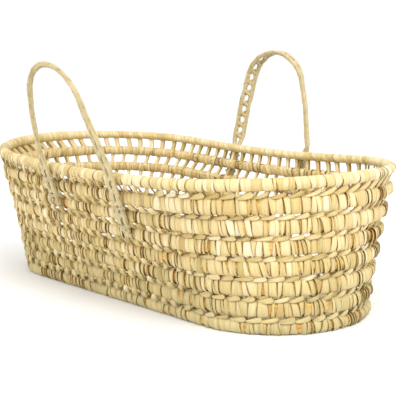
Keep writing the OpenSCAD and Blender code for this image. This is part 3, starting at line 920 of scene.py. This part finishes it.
def add_hair(build, rng, path, wide, face, number):
    """One loose fibre: the first few fray from the strand's two ends, the others stand out."""
    if number < 2 * END_HAIRS:
        at_start = number < END_HAIRS
        at = int(rng.integers(2, 9))
        at = at if at_start else len(path) - 1 - at
        way = (path[2] - path[14]) if at_start else (path[-3] - path[-15])
        length, spread = rng.uniform(8, 20) * MM, 0.35
    else:
        at = int(rng.integers(30, len(path) - 30))
        way = (path[at + 8] - path[at - 8]) * rng.choice([-1, 1])
        length, spread = rng.uniform(8, 16) * MM, 0.5
    t = np.linspace(0, 1, HAIR_STEPS)[:, None]
    lean = wide[at] * rng.normal(0, spread) + face[at] * abs(rng.normal(0, spread)) * 0.6
    curl = wide[at] * rng.normal(0, 0.3) + face[at] * rng.normal(0, 0.2)
    line = path[at] + (unit(way) * t + lean * t + curl * t * t) * length
    side = unit(np.cross(unit(way), face[at] + 0.3 * wide[at]))
    half = (np.full(HAIR_STEPS, rng.uniform(0.35, 0.7)) * np.linspace(1, 0.3, HAIR_STEPS)) * MM
    tube(build, line, np.broadcast_to(side, line.shape), np.broadcast_to(face[at], line.shape),
         half, half * 0.5, 6, 2, 0, rng.uniform(0.6, 1), 0.0, 40 + number)


handles = {which: plait(which, rng) for which in ("front", "rear")}

# ---- Twine: two bands of two turns round each sewn end, knotted in front ----

TWINE_R = 0.9 * MM
# The vertices round it, its plies, and their twist in radians per metre.
TWINE_COLS, TWINE_PLIES, TWINE_TWIST = 10, 2, 1500
TIE_TURNS = 2
TIE_HALF_DEPTH = 4.2 * MM
KNOT_SIZE = 0.85 * MM


def twine_line(build, rng, path, number):
    """Two-ply twine along a path. helper is a direction that no path here follows."""
    way = unit(np.gradient(path, axis=0))
    helper = np.array([0.31, 0.52, 0.79])
    wide = unit(np.cross(way, helper))
    half = np.full(len(path), TWINE_R)
    tube(build, path, wide, np.cross(way, wide), half, half, TWINE_COLS, TWINE_PLIES, TWINE_TWIST,
         rng.uniform(0.4, 0.8), 0.02, number)


def tie(which, side, rng):
    """Each band passes in front of the plait and behind it, through the gap between rows."""
    handle = handles[which]
    x_half, y_half = PLAIT_HALF + STRAND_WIDE / 2 + TWINE_R, TIE_HALF_DEPTH + TWINE_R
    down = handle.on_wall(0, np.array([[1.0]]))[0] - handle.on_wall(0, np.array([[0.0]]))[0]
    out = np.array([0.0, -math.cos(WALL_LEAN), -math.sin(WALL_LEAN)])
    build = Build()
    name = "left" if side < 0 else "right"
    for band, gap in enumerate(TIE_GAPS[side]):
        z = (wall[gap].z + wall[gap + 1].z) / 2
        middle = handle.on_wall(side, np.array([[handle.depth(z)]]))[0]
        a = np.linspace(0, TURN * TIE_TURNS, 40 * TIE_TURNS)
        slope = (a / TURN / TIE_TURNS - 0.5) * TIE_TURNS * 2.1 * TWINE_R
        slope = slope + wander(rng, len(a), 12) * 0.35 * MM
        bulge = 0.8
        x = np.sign(np.cos(a)) * np.abs(np.cos(a)) ** bulge * x_half
        y = np.sign(np.sin(a)) * np.abs(np.sin(a)) ** bulge * y_half
        ring = middle + np.stack([x, 0 * x, 0 * x], 1) + out * y[:, None] + down * slope[:, None]
        twine_line(build, rng, ring * handle.mirror, band)
        knot_at = middle + out * (y_half + TWINE_R) + np.array([rng.uniform(-4, 4) * MM, 0, 0])
        b = np.linspace(0, TURN, 50)
        loop = np.stack([np.sin(b) + 2 * np.sin(2 * b), np.cos(b) - 2 * np.cos(2 * b),
                         -np.sin(3 * b)], 1) * KNOT_SIZE
        knot = knot_at + loop[:, :1] * [1, 0, 0] + loop[:, 1:2] * down + loop[:, 2:] * out
        twine_line(build, rng, knot * handle.mirror, 2 + band)
        for end in (-1, 1):
            t = np.linspace(0, 1, 24)[:, None]
            length = rng.uniform(10, 20) * MM
            away = down * rng.uniform(0.5, 0.9) + np.array([end * rng.uniform(0.3, 0.9), 0, 0])
            tail = knot_at + (away * t + out * 0.25 * np.sin(t * 2.6)) * length
            twine_line(build, rng, tail * handle.mirror, 4 + band)
    build.piece(f"{which}_{name}_twine", twine_fibre, [f"{which}_{name}_tie"], "basket")


for which in ("front", "rear"):
    for side in (-1, 1):
        tie(which, side, rng)

# ---- Stage, light and camera ----


FLOOR_TONE = (0.79, 0.79, 0.79, 1)
SKY_STRENGTH = 1.27
BASKET_MIDDLE = (0, 0, 0.1)


def stage_material():
    n = Nodes("floor")
    n.put(n.shader.inputs["Base Color"], FLOOR_TONE)
    n.put(n.shader.inputs["Roughness"], 0.9)
    n.put(n.shader.inputs["Specular IOR Level"], 0.1)
    return n.material


bpy.ops.mesh.primitive_plane_add(size=40, location=(0, 0, 0))
floor = bpy.context.object
floor.name = "floor"
floor.data.materials.append(stage_material())

world = bpy.data.worlds.new("studio")
world.use_nodes = True
world.node_tree.nodes["Background"].inputs["Color"].default_value = (1, 1, 1, 1)
world.node_tree.nodes["Background"].inputs["Strength"].default_value = SKY_STRENGTH
bpy.context.scene.world = world


def soft_light(name, place, size, power):
    """A square lamp that faces the basket."""
    data = bpy.data.lights.new(name, "AREA")
    data.shape = "SQUARE"
    data.size = size
    data.energy = power
    lamp = bpy.data.objects.new(name, data)
    lamp.location = place
    lamp.rotation_mode = "QUATERNION"
    lamp.rotation_quaternion = (Vector(BASKET_MIDDLE) - Vector(place)).to_track_quat("-Z", "Y")
    bpy.context.scene.collection.objects.link(lamp)


soft_light("key", (1.7, -0.6, 2.4), 1.3, 38)
soft_light("right_fill", (2.6, -0.3, 1.2), 1.6, 9)
soft_light("front_fill", (-0.3, -2.6, 1.3), 1.6, 13)

CAMERA_AT = Vector((1.4497, -1.2316, 0.4723))
CAMERA_AIM = Vector((0.0201, 0.0233, 0.1565))
CAMERA_ROLL = math.radians(-0.4)
camera_data = bpy.data.cameras.new("camera")
camera_data.lens = 96.1
camera_data.sensor_width = 36
camera_data.clip_end = 100
camera = bpy.data.objects.new("camera", camera_data)
camera.location = CAMERA_AT
facing = (CAMERA_AIM - CAMERA_AT).to_track_quat("-Z", "Y")
camera.rotation_mode = "QUATERNION"
camera.rotation_quaternion = facing @ Matrix.Rotation(CAMERA_ROLL, 3, "Z").to_quaternion()
bpy.context.scene.collection.objects.link(camera)
bpy.context.scene.camera = camera
bpy.context.scene.view_settings.view_transform = "Standard"

bpy.context.view_layer.update()
